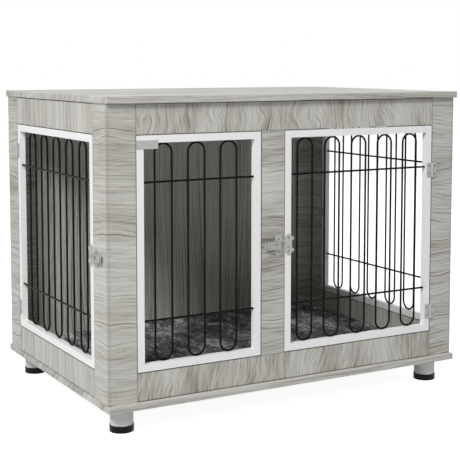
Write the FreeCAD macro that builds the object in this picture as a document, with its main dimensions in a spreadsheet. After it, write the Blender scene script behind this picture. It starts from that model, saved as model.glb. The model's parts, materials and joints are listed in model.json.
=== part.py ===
"""Dog crate end table: a board cabinet on four round feet, with wire grilles and two doors.

Millimetres. +X runs right along the front, +Y towards the back, +Z up. The origin is on the floor,
under the middle of the table top. The front wall faces -Y.
"""
import FreeCAD, Part
import Sketcher
import math
import os
import re

from FreeCAD import Placement, Rotation, Vector

DRIVING = {
    # boards
    "table_width": 800.0,
    "table_depth": 550.0,
    "board_thickness": 13.0,
    "board_edge": 1.0,
    "side_overhang": 2.0,
    "front_overhang": 8.0,
    "rear_overhang": 7.0,
    "wall_height": 548.0,
    "wall_thickness": 12.0,
    "corner_bevel": 2.0,
    "rail_gap": 1.2,
    "bottom_rail_height": 53.5,
    "top_rail_height": 56.5,
    "front_stile_width": 57.5,
    "window_opening": 264.5,
    "post_width": 52.0,
    "side_front_stile": 62.5,
    "side_rear_stile": 59.5,
    "back_stile_width": 58.0,
    # framed grilles
    "frame_gap": 1.5,
    "frame_face": 14.0,
    "frame_depth": 12.0,
    "frame_wall": 1.2,
    "wire_size": 4.0,
    "rod_depth": 5.0,
    "loop_width": 35.0,
    "rod_drop": 72.0,
    "rod_rise": 79.0,
    "window_end_gap": 30.6,
    "window_shift": 4.5,
    "door_end_gap": 19.8,
    "side_end_gap": 36.5,
    # hinges
    "leaf_width": 12.5,
    "leaf_height": 30.0,
    "leaf_thickness": 1.5,
    "barrel_radius": 2.5,
    "hinge_pin_radius": 1.2,
    "pin_clearance": 0.05,
    "knuckle_height": 10.0,
    "knuckle_gap": 0.3,
    "leaf_screw_offset": 7.6,
    "leaf_screw_spacing": 17.0,
    "front_hinge_drop": 94.0,
    "front_hinge_rise": 44.0,
    "side_hinge_drop": 57.0,
    "side_hinge_rise": 43.0,
    # toggle latches
    "latch_setback": 13.5,
    "latch_rise": 214.0,
    "plate_thickness": 1.2,
    "plate_width": 15.0,
    "plate_height": 40.0,
    "ear_span": 16.0,
    "ear_thickness": 1.2,
    "ear_radius": 2.8,
    "pivot_rise": 4.4,
    "latch_pin_radius": 1.2,
    "pin_head": 0.7,
    "lever_length": 36.0,
    "lever_width": 15.4,
    "lever_thickness": 1.4,
    "lever_barrel": 2.6,
    "lever_tip_lift": 3.0,
    "cheek_radius": 2.2,
    "cheek_thickness": 1.0,
    "crank_back": 3.5,
    "crank_rise": 3.0,
    "bail_reach": 23.5,
    "bail_bar": 1.8,
    "bail_inside": 9.2,
    "catch_inset": 0.5,
    "catch_height": 42.0,
    "tab_reach": 4.7,
    "tab_height": 6.0,
    "tab_level": 11.5,
    "hook_width": 7.0,
    "hook_stand": 1.1,
    "hook_height": 3.5,
    "hook_tip": 3.6,
    "hook_metal": 1.2,
    # screws, dowels and clips
    "screw_radius": 1.6,
    "screw_head": 3.0,
    "screw_head_depth": 0.8,
    "short_screw": 6.0,
    "wood_screw": 9.0,
    "base_screw_radius": 2.5,
    "base_screw_head": 4.5,
    "base_screw_length": 45.0,
    "dowel_radius": 3.0,
    "dowel_length": 28.0,
    "dowel_in_board": 8.0,
    "clip_length": 28.0,
    "clip_width": 20.0,
    "clip_thickness": 1.2,
    "clip_drop": 21.0,
    # feet
    "foot_height": 45.5,
    "foot_radius": 21.75,
    "foot_wall": 1.5,
    "foot_inset": 43.0,
    "foot_top": 3.0,
    "ring_radius": 23.0,
    "ring_height": 12.7,
    "ring_floor": 3.0,
    "foot_screw_head": 5.0,
    "foot_screw_head_height": 3.0,
    "foot_screw_radius": 2.5,
    "foot_screw_length": 14.0,
    # plate and mat
    "badge_length": 43.0,
    "badge_height": 16.0,
    "badge_drop": 9.0,
    "badge_thickness": 0.8,
    "mat_gap": 5.0,
    "mat_edge": 13.0,
    "mat_crown": 12.0,
    "mat_waist": 5.0,
    "mat_corner": 30.0,
}

DERIVED = {
    "wall_right": "table_width / 2 - side_overhang",
    "wall_left": "0 - wall_right",
    "wall_front": "front_overhang - table_depth / 2",
    "wall_rear": "table_depth / 2 - rear_overhang",
    "floor_level": "foot_height + board_thickness",
    "ceiling_level": "floor_level + wall_height",
    "open_low": "floor_level + bottom_rail_height",
    "open_high": "ceiling_level - top_rail_height",
    "window_left": "wall_left + front_stile_width",
    "window_right": "window_left + window_opening",
    "door_left": "window_right + post_width",
    "door_right": "wall_right - front_stile_width",
    "side_front": "wall_front + side_front_stile",
    "side_rear": "wall_rear - side_rear_stile",
    "loop_depth": "rod_depth + wire_size",
    "latch_level": "open_low + latch_rise",
    "foot_x": "table_width / 2 - foot_inset",
    "foot_y": "table_depth / 2 - foot_inset",
    "front_gap_line": "door_right - frame_gap / 2",
    "side_gap_line": "side_rear - frame_gap / 2",
    "front_latch_line": "door_left - latch_setback",
    "side_latch_line": "side_front - latch_setback",
}

# The side walls are laid out in the plane of the front wall and turned into place.
FRONT = Rotation()
LEFT = Rotation(Vector(0, 0, 1), -90)
RIGHT = Rotation(Vector(0, 0, 1), 90)
TURNED = Rotation(Vector(0, 1, 0), 180)
UP = Rotation()
INWARD = Rotation(Vector(1, 0, 0), -90)
BEND_STEPS = 5
WIRE_SIDES = 8
# Small round metal is made with this many flats. A bore is drawn larger, so its flats clear a pin.
SMALL_SIDES = 12
FLAT_FACTOR = f"{1 / math.cos(math.pi / SMALL_SIDES):.4f}"
# Flats round a screw's shank, round its head, and round the circle that ends a plate or fills a foot.
SHANK_SIDES = 6
HEAD_SIDES = 8
END_SIDES = 24

document = FreeCAD.newDocument("DogCrateEndTable")
sizes = document.addObject("Spreadsheet::Sheet", "sizes")
layout = document.addObject("Spreadsheet::Sheet", "layout")
sub_parts = []


def qualified(text):
    """Return an expression with each named size preceded by the sheet that holds it."""
    def sheet_of(match):
        word = match.group(0)
        if word in DRIVING:
            return "sizes." + word
        return "layout." + word if word in DERIVED else word
    return re.sub(r"[a-z][a-z_]+", sheet_of, text)


def fill_sheets():
    """Write the driving sizes as plain numbers and the layout lines as formulas."""
    for row, (alias, value) in enumerate(DRIVING.items(), 1):
        sizes.set(f"A{row}", alias)
        sizes.set(f"B{row}", str(value))
        sizes.setAlias(f"B{row}", alias)
    document.recompute()
    for row, (alias, text) in enumerate(DERIVED.items(), 1):
        layout.set(f"A{row}", alias)
        layout.set(f"B{row}", "=" + qualified(text))
        layout.setAlias(f"B{row}", alias)
        document.recompute()


def number(text):
    """Return the value of an expression in the named sizes."""
    cell = f"D{len(DERIVED) + 1}"
    layout.set(cell, "=" + qualified(text))
    layout.recompute()
    return float(layout.get(cell))


def bind(thing, **expressions):
    """Tie properties to expressions. A double underscore in a name stands for a dot."""
    for name, text in expressions.items():
        thing.setExpression(name.replace("__", "."), qualified(str(text)))
    return thing


def locate(thing, x="0", y="0", z="0", rotation=UP):
    """Put an object at a point given by expressions, turned by a fixed rotation."""
    thing.Placement = Placement(Vector(), rotation)
    return bind(thing, Placement__Base__x=x, Placement__Base__y=y, Placement__Base__z=z)


def block(name, x, y, z, length, width, height, rotation=UP):
    """A box from its corner and its three sizes."""
    box = document.addObject("Part::Box", name)
    bind(box, Length=length, Width=width, Height=height)
    return locate(box, x, y, z, rotation)


def round_bar(name, x, y, z, radius, height, rotation=UP):
    """A cylinder that rises from its base point along the rotated Z axis."""
    bar = document.addObject("Part::Cylinder", name)
    bind(bar, Radius=radius, Height=height)
    return locate(bar, x, y, z, rotation)


def small_bar(name, x, y, z, radius, height, rotation=UP, sides=SMALL_SIDES):
    """A thin round bar, drawn with flats, that rises along the rotated Z axis."""
    bar = document.addObject("Part::Prism", name)
    bar.Polygon = sides
    bind(bar, Circumradius=radius, Height=height)
    return locate(bar, x, y, z, rotation)


def small_bore(name, x, y, z, radius, height, rotation=UP):
    """The space of a bore whose flats stand at the radius, so a bar of that radius turns in it."""
    return small_bar(name, x, y, z, f"{FLAT_FACTOR} * ({radius})", height, rotation)


def joined(name, pieces):
    """One solid made of pieces that overlap or touch."""
    fuse = document.addObject("Part::MultiFuse", name)
    fuse.Shapes = pieces
    fuse.Refine = True
    return fuse


def cut(name, base, tool):
    """A piece with another taken out of it."""
    result = document.addObject("Part::Cut", name)
    result.Base, result.Tool = base, tool
    return result


def shared(name, first, second):
    """What two pieces have in common."""
    result = document.addObject("Part::Common", name)
    result.Base, result.Tool = first, second
    return result


def group(name, pieces):
    """Separate solids kept together."""
    compound = document.addObject("Part::Compound", name)
    compound.Links = pieces
    return compound


def keep(thing, label):
    """Name a finished sub-part, which is written under that name."""
    thing.Label = label
    sub_parts.append(thing)
    return thing


def drill(label, *screws):
    """Bore a finished sub-part for the screws of others, and keep it under its own name."""
    blank = next(part for part in sub_parts if part.Label == label)
    tools = [part for part in sub_parts if part.Label in screws]
    sub_parts.remove(blank)
    blank.Label = label + "_undrilled"
    keep(cut(label + "_drilled", blank, group(label + "_screw_bores", tools)), label)


def polygon(name, corners, rotation=UP):
    """A closed sketch with straight sides, each corner tied to its two expressions."""
    sketch = document.addObject("Sketcher::SketchObject", name)
    sketch.Placement = Placement(Vector(), rotation)
    points = [Vector(number(x), number(y), 0) for x, y in corners]
    for here, there in zip(points, points[1:] + points[:1]):
        sketch.addGeometry(Part.LineSegment(here, there))
    count = len(points)
    for side in range(count):
        sketch.addConstraint(Sketcher.Constraint("Coincident", side, 2, (side + 1) % count, 1))
    for side, (x, y) in enumerate(corners):
        for kind, text in (("DistanceX", x), ("DistanceY", y)):
            index = sketch.addConstraint(Sketcher.Constraint(kind, side, 1, number(text)))
            sketch.setExpression(f"Constraints[{index}]", qualified(text))
    return sketch


def extruded(name, sketch, direction, length, start="0"):
    """A sketch drawn out along a direction, from a start distance."""
    solid = document.addObject("Part::Extrusion", name)
    solid.Base, solid.Solid = sketch, True
    solid.DirMode, solid.Dir = "Custom", direction
    bind(solid, LengthFwd=length)
    for axis, part in zip("xyz", direction):
        if part:
            bind(solid, **{f"Placement__Base__{axis}": start})
    return solid


def eased(name, base, size, wanted):
    """Chamfer those edges of a piece that the wanted function accepts."""
    document.recompute()
    chamfer = document.addObject("Part::Chamfer", name)
    chamfer.Base = base
    edges = [index for index, edge in enumerate(base.Shape.Edges, 1) if wanted(edge)]
    chamfer.Edges = [(index, size, size) for index in edges]
    return chamfer


# ---------------------------------------------------------------- boards

def make_boards():
    """Top and base boards: flat, with every edge eased."""
    for label, level in (("top_board", "ceiling_level"), ("base_board", "foot_height")):
        board = block(label + "_blank", "0 - table_width / 2", "0 - table_depth / 2", level,
                      "table_width", "table_depth", "board_thickness")
        finished = eased(label + "_eased", board, number("board_edge"), lambda edge: True)
        if label == "top_board":
            finished = cut("top_board_drilled", finished, dowel_holes("top"))
        keep(finished, label)


def corner_points():
    """The wall corners: the outer corner and the directions along and across its front board."""
    return {
        "front_left": ("wall_left", "wall_front", 1, 1),
        "front_right": ("wall_right", "wall_front", -1, 1),
        "back_left": ("wall_left", "wall_rear", 1, -1),
        "back_right": ("wall_right", "wall_rear", -1, -1),
    }


def mitred_stile(label, corner, along_x, width):
    """A corner board of full wall height: mitred to its neighbour, its outer edge bevelled."""
    x, y, to_x, to_y = corner_points()[corner]

    def point(along, across):
        if along_x:
            return f"{x} + {to_x} * ({along})", f"{y} + {to_y} * ({across})"
        return f"{x} + {to_x} * ({across})", f"{y} + {to_y} * ({along})"

    outline = [point("corner_bevel", "0"), point(width, "0"), point(width, "wall_thickness"),
               point("wall_thickness", "wall_thickness"),
               point("corner_bevel / 2", "corner_bevel / 2")]
    sketch = polygon(label + "_section", outline)
    blank = extruded(label + "_blank", sketch, Vector(0, 0, 1), "wall_height", "floor_level")
    return blank


def make_stiles():
    """The eight mitred corner boards, those of front and back drilled for the top's dowels."""
    widths = {
        "front_left_stile": ("front_left", True, "front_stile_width"),
        "front_right_stile": ("front_right", True, "front_stile_width"),
        "back_left_stile": ("back_left", True, "back_stile_width"),
        "back_right_stile": ("back_right", True, "back_stile_width"),
        "left_side_front_stile": ("front_left", False, "side_front_stile"),
        "left_side_rear_stile": ("back_left", False, "side_rear_stile"),
        "right_side_front_stile": ("front_right", False, "side_front_stile"),
        "right_side_rear_stile": ("back_right", False, "side_rear_stile"),
    }
    for label, (corner, along_x, width) in widths.items():
        stile = mitred_stile(label, corner, along_x, width)
        if along_x:
            stile = cut(label + "_drilled", stile, dowel_holes(label))
        keep(stile, label)


def make_rails():
    """Front, side and back boards between the stiles. The rails stand a hair clear of both boards."""
    rails = (("top_rail", "open_high", "top_rail_height - rail_gap"),
             ("bottom_rail", "floor_level + rail_gap", "bottom_rail_height - rail_gap"))
    for rail, level, height in rails:
        keep(block("front_" + rail, "window_left", "wall_front", level,
                   "door_right - window_left", "wall_thickness", height), "front_" + rail)
        keep(block("left_side_" + rail, "wall_left", "side_front", level,
                   "wall_thickness", "side_rear - side_front", height), "left_side_" + rail)
        keep(block("right_side_" + rail, "wall_right - wall_thickness", "side_front", level,
                   "wall_thickness", "side_rear - side_front", height), "right_side_" + rail)
    keep(block("front_center_post", "window_right", "wall_front", "open_low",
               "post_width", "wall_thickness", "open_high - open_low"), "front_center_post")
    keep(block("back_panel", "wall_left + back_stile_width", "wall_rear - wall_thickness",
               "floor_level", "wall_right - wall_left - 2 * back_stile_width",
               "wall_thickness", "wall_height"), "back_panel")


def dowel_places():
    """Centres of the dowels that hold the top board: one in each front and back corner board."""
    inner = "wall_thickness / 2"
    return {
        "front_left_stile": ("wall_left + front_stile_width / 2", f"wall_front + {inner}"),
        "front_right_stile": ("wall_right - front_stile_width / 2", f"wall_front + {inner}"),
        "back_left_stile": ("wall_left + back_stile_width / 2", f"wall_rear - {inner}"),
        "back_right_stile": ("wall_right - back_stile_width / 2", f"wall_rear - {inner}"),
    }


def dowel_holes(which):
    """The dowel bores in the top board, or with the base screw's bore those of one stile."""
    bores = []
    for label, (x, y) in dowel_places().items():
        if which in ("top", label):
            bores.append(small_bar("dowel_bore", x, y,
                                   "ceiling_level + dowel_in_board - dowel_length",
                                   "dowel_radius", "dowel_length"))
            if which == label:
                bores.append(small_bar("screw_bore", x, y, "floor_level", "base_screw_radius",
                                       "base_screw_length - board_thickness"))
    return group("bores", bores)


def make_board_fixings():
    """Dowels up into the top board and screws up through the base board, one each per stile."""
    dowels, screws = [], []
    for x, y in dowel_places().values():
        dowels.append(small_bar("dowel", x, y, "ceiling_level + dowel_in_board - dowel_length",
                                "dowel_radius", "dowel_length"))
        shank = small_bar("base_screw_shank", x, y, "foot_height", "base_screw_radius",
                          "base_screw_length")
        head = small_bar("base_screw_head", x, y, "foot_height", "base_screw_head",
                         "base_screw_head - base_screw_radius")
        screws.append(joined("base_screw", [shank, head]))
    keep(group("top_board_dowels", dowels), "top_board_dowels")
    keep(group("base_screw_set", screws), "base_board_screws")
    drill("base_board", "base_board_screws")


# ---------------------------------------------------------------- framed wire grilles

def mitred_members(name, left, right):
    """Four lengths of square tube, mitred round an opening with a gap outside them."""
    low, high = "(open_low + frame_gap)", "(open_high - frame_gap)"
    west, east = f"({left} + frame_gap)", f"({right} - frame_gap)"
    u = (west, f"{west} + frame_face", f"{east} - frame_face", east)
    w = (low, f"{low} + frame_face", f"{high} - frame_face", high)
    outlines = {
        "bottom": [(u[0], w[0]), (u[3], w[0]), (u[2], w[1]), (u[1], w[1])],
        "right": [(u[3], w[0]), (u[3], w[3]), (u[2], w[2]), (u[2], w[1])],
        "top": [(u[3], w[3]), (u[0], w[3]), (u[1], w[2]), (u[2], w[2])],
        "left": [(u[0], w[3]), (u[0], w[0]), (u[1], w[1]), (u[1], w[2])],
    }
    width, height, bore = f"{east} - {west}", f"{high} - {low}", "frame_face - 2 * frame_wall"
    bores = {
        "bottom": (west, f"{low} + frame_wall", width, bore),
        "right": (f"{u[2]} + frame_wall", low, bore, height),
        "top": (west, f"{w[2]} + frame_wall", width, bore),
        "left": (f"{west} + frame_wall", low, bore, height),
    }
    upright = Rotation(Vector(1, 0, 0), 90)
    members = []
    for side, outline in outlines.items():
        sketch = polygon(f"{name}_{side}_outline", outline, upright)
        bar = extruded(f"{name}_{side}_bar", sketch, Vector(0, 1, 0), "frame_depth")
        x, z, length, rise = bores[side]
        hollow = block(f"{name}_{side}_bore", x, "frame_wall", z, length,
                       "frame_depth - 2 * frame_wall", rise)
        members.append(cut(f"{name}_{side}", bar, hollow))
    return members


def ring_section(centre, along, across, radius):
    """A closed eight-sided wire section whose flats face the thickness of the grille."""
    corners = []
    for side in range(WIRE_SIDES + 1):
        angle = 2 * math.pi * (side + 0.5) / WIRE_SIDES
        corners.append(centre + along * (radius * math.cos(angle))
                       + across * (radius * math.sin(angle)))
    return Part.makePolygon(corners)


def wire_loop(centre, low, high, depth):
    """A bent wire: two uprights joined by a half-round bend at each end, in one unbroken piece."""
    section_radius = number("wire_size") / 2 / math.cos(math.pi / WIRE_SIDES)
    bend = number("loop_width") / 2
    reach = bend * math.cos(math.pi / BEND_STEPS / 2) + number("wire_size") / 2
    path = [Vector(centre - bend, depth, (low + high) / 2)]
    for middle, turn in ((high - reach, 1), (low + reach, -1)):
        for step in range(BEND_STEPS + 1):
            angle = math.pi * step / BEND_STEPS
            path.append(Vector(centre - turn * bend * math.cos(angle), depth,
                               middle + turn * bend * math.sin(angle)))
    path.append(path[0])
    section = ring_section(path[0], Vector(1, 0, 0), Vector(0, 1, 0), section_radius)
    return Part.makePolygon(path).makePipeShell([section], True, False, 1)


def cross_rod(left, right, level, depth):
    """A straight wire across the loops, its ends seated in the frame."""
    section_radius = number("wire_size") / 2 / math.cos(math.pi / WIRE_SIDES)
    start = Vector(left, depth, level)
    section = ring_section(start, Vector(0, 0, 1), Vector(0, 1, 0), section_radius)
    return Part.Face(section).extrude(Vector(right - left, 0, 0))


def wire_grille(name, left, right, loops, end_gap, shift):
    """The wires of a grille: upright loops, and two cross rods that lie flat against them."""
    inner = "(frame_gap + frame_face)"
    u_left, u_right = number(f"{left} + {inner}"), number(f"{right} - {inner}")
    low, high = number(f"open_low + {inner}"), number(f"open_high - {inner}")
    middle = (u_left + u_right) / 2 + number(shift)
    pitch = (u_right - u_left - 2 * number(end_gap) - number("loop_width")) / (loops - 1)
    pieces = []
    for step in range(loops):
        centre = middle + (step - (loops - 1) / 2) * pitch
        pieces.append(wire_loop(centre, low, high, number("loop_depth")))
    for level in (low + number("rod_rise"), high - number("rod_drop")):
        pieces.append(cross_rod(u_left, u_right, level, number("rod_depth")))
    grille = document.addObject("Part::Feature", name)
    grille.Shape = Part.makeCompound(pieces)
    return grille


def make_framed_grilles():
    """The fixed windows and the doors: mitred tube frames, flush with the wall, round wire grilles."""
    panels = {
        "front_window": ("window_left", "window_right", 3, "window_end_gap", "0 - window_shift",
                         FRONT, "0", "wall_front"),
        "front_door": ("door_left", "door_right", 5, "door_end_gap", "0",
                       FRONT, "0", "wall_front"),
        "side_door": ("0 - side_rear", "0 - side_front", 5, "side_end_gap", "0",
                      LEFT, "wall_left", "0"),
        "right_window": ("side_front", "side_rear", 5, "side_end_gap", "0",
                         RIGHT, "wall_right", "0"),
    }
    for name, (left, right, loops, end_gap, shift, rotation, x, y) in panels.items():
        grille = wire_grille(name + "_wires", left, right, loops, end_gap, shift)
        frame = group(name + "_frame_members", mitred_members(name + "_tube", left, right))
        keep(locate(frame, x, y, "0", rotation), name + "_frame")
        keep(locate(group(name + "_grille_set", [grille]), x, y, "0", rotation), name + "_grille")


# ---------------------------------------------------------------- screws

def sunk_screw(name, x, z, y, length):
    """A screw driven along +Y, its head flush with the plane it starts from."""
    head = small_bar(name + "_head", x, y, z, "screw_head", "screw_head_depth", INWARD, HEAD_SIDES)
    shank = small_bar(name + "_shank", x, y, z, "screw_radius", length, INWARD, SHANK_SIDES)
    return joined(name, [head, shank])


def screw_clearance(name, x, z, y, thickness):
    """What a sunk screw takes out of the plate it holds."""
    head = small_bar(name + "_head", x, y, z, "screw_head", "screw_head_depth", INWARD, HEAD_SIDES)
    bore = small_bar(name + "_bore", x, y, z, "screw_radius", thickness, INWARD, SHANK_SIDES)
    return [head, bore]


# ---------------------------------------------------------------- hinges

def leaf_screw_places(side):
    """The two screw centres of a leaf, on the side of the barrel that the sign gives."""
    return [(f"{side} * leaf_screw_offset", f"{end} * leaf_screw_spacing / 2") for end in (-1, 1)]


def hinge_leaf(name, side, knuckles, neighbours):
    """A leaf flat on the wall with its own knuckles, cleared round those of the other leaf."""
    left = "0" if side > 0 else "0 - leaf_width"
    plate = block(name + "_plate", left, "0 - leaf_thickness", "0 - leaf_height / 2",
                  "leaf_width", "leaf_thickness", "leaf_height")
    solids, bores = [plate], []
    for low, height in knuckles:
        solids.append(small_bar(name + "_knuckle", "0", "0 - barrel_radius", low,
                                "barrel_radius", height))
    for low, height in neighbours:
        bores.append(small_bore(name + "_clear", "0", "0 - barrel_radius", f"{low} - knuckle_gap",
                                "barrel_radius + knuckle_gap", f"{height} + 2 * knuckle_gap"))
    bores.append(small_bore(name + "_pin_bore", "0", "0 - barrel_radius", "0 - leaf_height / 2",
                            "hinge_pin_radius + pin_clearance", "leaf_height"))
    for x, z in leaf_screw_places(side):
        bores += screw_clearance(name + "_hole", x, z, "0 - leaf_thickness", "leaf_thickness")
    return cut(name, joined(name + "_blank", solids), group(name + "_cuts", bores))


def make_hinge(name):
    """One butt hinge about its own axis: stile leaf, door leaf, pin and the screws of each leaf."""
    end = "leaf_height / 2 - knuckle_height"
    outer = [("0 - leaf_height / 2", "knuckle_height"), (end, "knuckle_height")]
    inner = [(f"0 - ({end}) + knuckle_gap", f"2 * ({end} - knuckle_gap)")]
    return {
        "stile_leaves": hinge_leaf(name + "_stile_leaf", 1, outer, inner),
        "door_leaves": hinge_leaf(name + "_door_leaf", -1, inner, outer),
        "hinge_pins": round_bar(name + "_pin", "0", "0 - barrel_radius", "0 - leaf_height / 2",
                                "hinge_pin_radius", "leaf_height"),
        "stile_screws": group(name + "_stile_screws", [
            sunk_screw(name + "_stile_screw", x, z, "0 - leaf_thickness", "wood_screw")
            for x, z in leaf_screw_places(1)]),
        "door_screws": group(name + "_door_screws", [
            sunk_screw(name + "_door_screw", x, z, "0 - leaf_thickness", "short_screw")
            for x, z in leaf_screw_places(-1)]),
    }


def make_hinges():
    """Two hinges on each door, on the outside of the wall."""
    doors = {
        "front": (FRONT, "front_gap_line", "wall_front", "front_hinge_drop", "front_hinge_rise"),
        "side": (LEFT * TURNED, "wall_left", "side_gap_line", "side_hinge_drop", "side_hinge_rise"),
    }
    stile_screws = []
    for door, (rotation, x, y, drop, rise) in doors.items():
        sets = {}
        for place, level in (("upper", f"open_high - {drop}"), ("lower", f"open_low + {rise}")):
            for kind, piece in make_hinge(f"{door}_{place}_hinge").items():
                located = group(f"{door}_{place}_{kind}", [piece])
                sets.setdefault(kind, []).append(locate(located, x, y, level, rotation))
        stile_screws += sets.pop("stile_screws")
        for kind, pieces in sets.items():
            keep(group(f"{door}_hinge_{kind}_set", pieces), f"{door}_door_{kind}")
    keep(group("hinge_stile_screw_set", stile_screws), "hinge_stile_screws")


# ---------------------------------------------------------------- latches

def stadium(name, centre_x, low_y, width, height, thickness):
    """A plate with half-round ends, standing upright, from its outer face inwards."""
    half = f"({width}) / 2"
    straight = f"({height} - {width}) / 2"
    body = block(name + "_middle", f"{centre_x} - {half}", low_y, f"0 - {straight}",
                 width, thickness, f"2 * {straight}")
    ends = [small_bar(name + "_end", centre_x, low_y, f"{sign} * {straight}", half, thickness,
                      INWARD, END_SIDES) for sign in (-1, 1)]
    return joined(name, [body] + ends)


def plate_screw_places(centre_x, height):
    """The screw centres in the two round ends of a latch plate."""
    return [(centre_x, f"{sign} * ({height} - plate_width) / 2") for sign in (-1, 1)]


def latch_base(name):
    """The plate on the fixed wood, with two ears that carry the lever's pin."""
    plate = stadium(name + "_plate", "0", "0 - plate_thickness", "plate_width", "plate_height",
                    "plate_thickness")
    solids, cuts = [plate], []
    for low in ("ear_span / 2", "0 - ear_span / 2 - ear_thickness"):
        solids.append(small_bar(name + "_ear", "0", "0 - pivot_rise", low, "ear_radius",
                                "ear_thickness"))
        solids.append(block(name + "_ear_root", "0 - ear_radius", "0 - pivot_rise", low,
                            "2 * ear_radius", "pivot_rise", "ear_thickness"))
    cuts.append(round_bar(name + "_pin_bore", "0", "0 - pivot_rise", "0 - ear_span",
                          "latch_pin_radius", "2 * ear_span"))
    for x, z in plate_screw_places("0", "plate_height"):
        cuts += screw_clearance(name + "_hole", x, z, "0 - plate_thickness", "plate_thickness")
    return cut(name, joined(name + "_blank", solids), group(name + "_cuts", cuts))


def latch_pin(name):
    """The lever's pin, riveted over at both ends."""
    half = "(ear_span / 2 + ear_thickness)"
    pieces = [round_bar(name + "_shank", "0", "0 - pivot_rise", f"0 - {half}", "latch_pin_radius",
                        f"2 * {half}")]
    for low in (half, f"0 - {half} - pin_head"):
        pieces.append(small_bar(name + "_head", "0", "0 - pivot_rise", low,
                                "latch_pin_radius + pin_head", "pin_head"))
    return joined(name, pieces)


def latch_lever(name):
    """The thumb lever: a barrel on the pin, cheeks that carry the bail, and a plate with a
    raised, rounded tip."""
    rise, half = "pivot_rise", "lever_width / 2"
    flat_low, flat_high = f"0 - {rise} - lever_thickness / 2", f"0 - {rise} + lever_thickness / 2"
    bend, tip = "0 - lever_length + 3 * lever_tip_lift", "0 - lever_length"
    side = [("0", flat_low), ("0", flat_high), (bend, flat_high),
            (tip, f"{flat_high} - lever_tip_lift"), (tip, f"{flat_low} - lever_tip_lift"),
            (bend, flat_low)]
    profile = extruded(name + "_profile", polygon(name + "_side", side), Vector(0, 0, 1),
                       "lever_width", f"0 - {half}")
    depth = "lever_length"
    tongue = joined(name + "_tongue", [
        block(name + "_tongue_middle", f"{half} - lever_length", f"0 - {depth}", f"0 - {half}",
              f"lever_length - {half}", depth, "lever_width"),
        small_bar(name + "_tongue_end", f"{half} - lever_length", f"0 - {depth}", "0", half, depth,
                  INWARD, END_SIDES)])
    solids = [shared(name + "_plate", profile, tongue),
              round_bar(name + "_barrel", "0", f"0 - {rise}", f"0 - {half}", "lever_barrel",
                        "lever_width")]
    for low in (f"0 - {half}", f"{half} - cheek_thickness"):
        solids.append(small_bar(name + "_cheek", "0 - crank_back", f"0 - {rise} - crank_rise", low,
                                "cheek_radius", "cheek_thickness"))
        solids.append(block(name + "_cheek_root", "0 - crank_back - cheek_radius",
                            f"0 - {rise} - crank_rise", low, "2 * cheek_radius", "crank_rise",
                            "cheek_thickness"))
    cuts = [small_bore(name + "_bore", "0", f"0 - {rise}", "0 - lever_width",
                       "latch_pin_radius + pin_clearance", "2 * lever_width"),
            small_bore(name + "_bail_bore", "0 - crank_back", f"0 - {rise} - crank_rise",
                       "0 - lever_width", "bail_bar / 2 + pin_clearance", "2 * lever_width")]
    return cut(name, joined(name + "_blank", solids), group(name + "_cuts", cuts))


def latch_bail(name):
    """The bail, folded back over the lever: a pivot bar, two side bars and the bar that the
    hook takes."""
    level = "0 - pivot_rise - crank_rise"
    bar = "bail_bar / 2"
    outside = "(bail_inside / 2 + bail_bar)"
    solids = [
        round_bar(name + "_pivot", "0 - crank_back", level, "0 - lever_width / 2", bar, "lever_width"),
        small_bar(name + "_hook_bar", "0 - crank_back - bail_reach", level, f"0 - {outside}", bar,
                  f"2 * {outside}")]
    for low in ("bail_inside / 2", f"0 - {outside}"):
        solids.append(block(name + "_arm", "0 - crank_back - bail_reach", f"{level} - {bar}", low,
                            "bail_reach", "bail_bar", "bail_bar"))
    return joined(name, solids)


def latch_catch(name):
    """The plate on the door frame: round ends, two tabs past the frame's inner edge, and the hook."""
    near = "(latch_setback + frame_gap + catch_inset)"
    centre, far = f"({near} + plate_width / 2)", f"({near} + plate_width)"
    solids = [stadium(name + "_plate", centre, "0 - plate_thickness", "plate_width", "catch_height",
                      "plate_thickness")]
    for sign in (-1, 1):
        solids.append(block(name + "_tab", centre, "0 - plate_thickness",
                            f"{sign} * tab_level - tab_height / 2", "plate_width / 2 + tab_reach",
                            "plate_thickness", "tab_height"))
    hook_x = f"({near} + hook_stand)"
    solids.append(block(name + "_stem", hook_x, "0 - plate_thickness - hook_height",
                        "0 - hook_width / 2", "hook_metal", "plate_thickness + hook_height",
                        "hook_width"))
    solids.append(block(name + "_tip", hook_x, "0 - plate_thickness - hook_height",
                        "0 - hook_width / 2", "hook_tip", "hook_metal", "hook_width"))
    cuts = []
    for x, z in plate_screw_places(centre, "catch_height"):
        cuts += screw_clearance(name + "_hole", x, z, "0 - plate_thickness", "plate_thickness")
    return cut(name, joined(name + "_blank", solids), group(name + "_cuts", cuts))


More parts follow.
